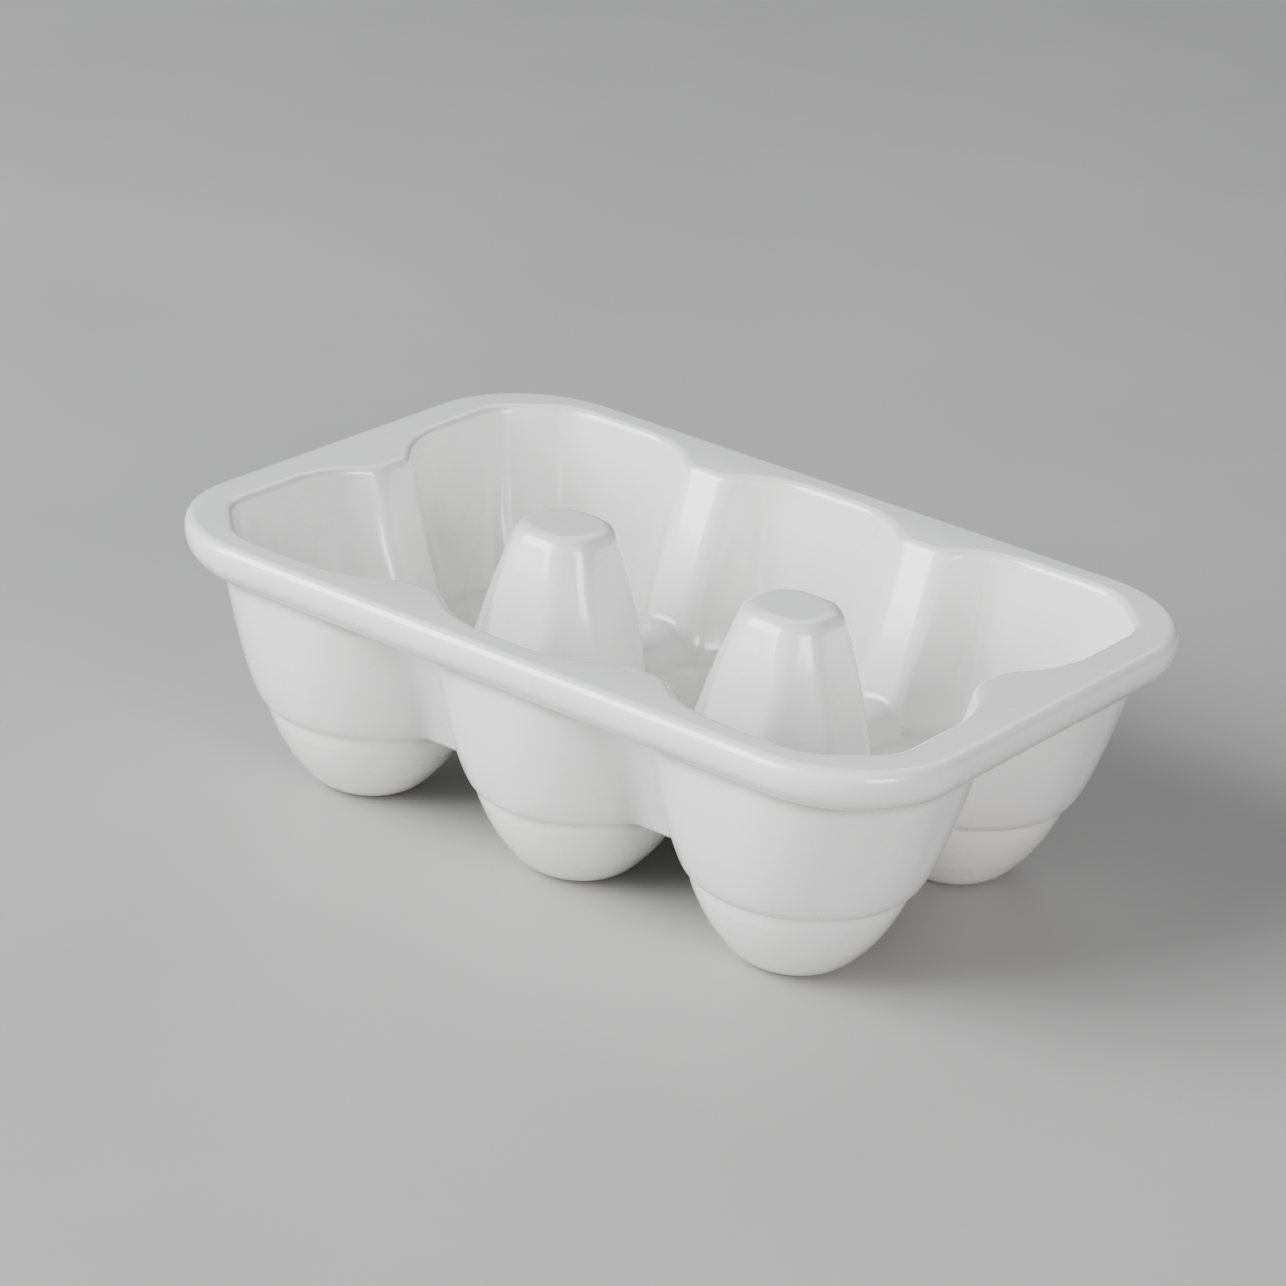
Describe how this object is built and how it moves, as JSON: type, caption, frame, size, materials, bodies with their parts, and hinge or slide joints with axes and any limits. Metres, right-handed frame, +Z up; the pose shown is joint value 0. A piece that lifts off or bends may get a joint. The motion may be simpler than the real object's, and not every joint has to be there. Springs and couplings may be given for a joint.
{
  "type": "egg tray",
  "caption": "Glazed ceramic tray that holds eggs upright in round-bottomed cups, with a rolled rim and hollow tapered posts between the cups.",
  "frame": {"origin": "middle of the tray at the level of the feet", "axes": "+X along the long side, +Y across it to the back, +Z up out of the cups"},
  "size_m": [0.167, 0.1126, 0.0522],
  "materials": {
    "glaze": "glossy clear glaze over white porcelain"
  },
  "bodies": {
    "root": {"rim": "glaze", "post_left": "glaze", "post_right": "glaze", "wall_front_left": "glaze", "wall_front_middle": "glaze", "wall_front_right": "glaze", "wall_back_left": "glaze", "wall_back_middle": "glaze", "wall_back_right": "glaze", "bowl_front_left": "glaze", "bowl_front_middle": "glaze", "bowl_front_right": "glaze", "bowl_back_left": "glaze", "bowl_back_middle": "glaze", "bowl_back_right": "glaze", "rib_front_left": "glaze", "rib_front_right": "glaze", "rib_back_left": "glaze", "rib_back_right": "glaze", "rib_end_left": "glaze", "rib_end_right": "glaze", "saddle_front_left": "glaze", "saddle_front_right": "glaze", "saddle_back_left": "glaze", "saddle_back_right": "glaze", "saddle_left": "glaze", "saddle_middle": "glaze", "saddle_right": "glaze"}
  },
  "joints": []
}
